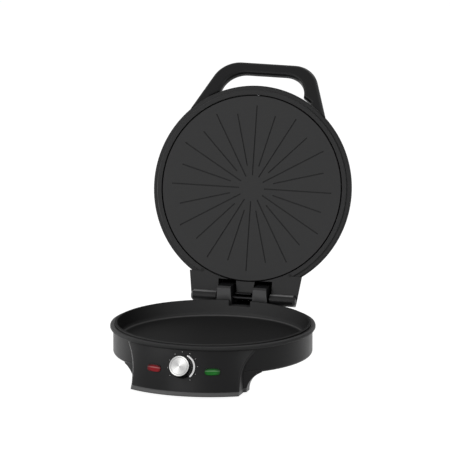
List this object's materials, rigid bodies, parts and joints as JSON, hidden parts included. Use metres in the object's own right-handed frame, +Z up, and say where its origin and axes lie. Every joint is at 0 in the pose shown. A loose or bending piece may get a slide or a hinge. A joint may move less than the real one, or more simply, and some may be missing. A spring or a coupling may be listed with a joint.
{
  "type": "electric pizza maker",
  "caption": "Round electric pizza maker: deep lower pan in a base with a front console, hinged lid with a ribbed hot plate and bail handle, standing open.",
  "frame": {"origin": "middle of the model's box at the level of the table", "axes": "+Z up, front console and knob towards -Y, hinge axis along X"},
  "size_m": [0.3324, 0.5268, 0.4389],
  "materials": {
    "housing": "fine-grained black moulding",
    "frame": "fine-grained black moulding",
    "cover": "smooth black moulding",
    "bead": "satin black ring",
    "plate": "black non-stick coating on cast aluminium",
    "handle": "satin black moulding",
    "knob": "black moulding",
    "knob_cap": "spun aluminium",
    "red_lens": "translucent red",
    "green_lens": "translucent green",
    "element": "heater sheath",
    "sheet": "galvanised sheet",
    "steel": "plated steel",
    "pin": "blackened steel",
    "shaft": "turned steel",
    "rubber": "matt black",
    "ceramic": "pale moulded insulator"
  },
  "bodies": {
    "base": {"lower_housing": "housing", "front_console": "housing", "rear_leg": "housing", "base_rim_ring": "bead", "lower_pan": "plate", "lower_element": "element", "lower_element_clamps": "sheet", "lower_heat_shield": "sheet", "pan_posts": "steel", "bottom_cover": "sheet", "bottom_screws": "steel", "front_cover": "housing", "rear_cover": "housing", "cover_screws": "steel", "front_feet": "rubber", "rear_feet": "rubber", "thermostat": "ceramic", "thermostat_bracket": "sheet", "bracket_screws": "steel", "red_lamp_lens": "red_lens", "green_lamp_lens": "green_lens", "lamp_holders": "ceramic", "terminal_block": "ceramic", "thermal_fuse": "steel", "cord_gland": "rubber", "hinge_pin": "pin"},
    "knob": {"knob_body": "knob", "knob_cap": "knob_cap", "knob_shaft": "shaft"},
    "lid": {"lid_frame": "frame", "lid_cover": "cover", "upper_plate": "plate", "upper_element": "element", "upper_element_clamps": "sheet", "upper_heat_shield": "sheet", "plate_clips": "sheet", "lid_screws": "steel", "lid_buffers": "rubber", "hinge_caps": "housing", "handle_upper": "handle", "handle_lower": "handle"}
  },
  "joints": [
    {"name": "lid_hinge", "type": "hinge", "parent": "base", "child": "lid", "pos_m": [0, 0.11283, 0.082], "axis": [1, 0, 0], "range_deg": [0, 104]},
    {"name": "knob_turn", "type": "hinge", "parent": "base", "child": "knob", "pos_m": [0, -0.23909, 0.0475], "axis": [0, -0.9462, 0.3236], "range_deg": [-270, 0]}
  ]
}
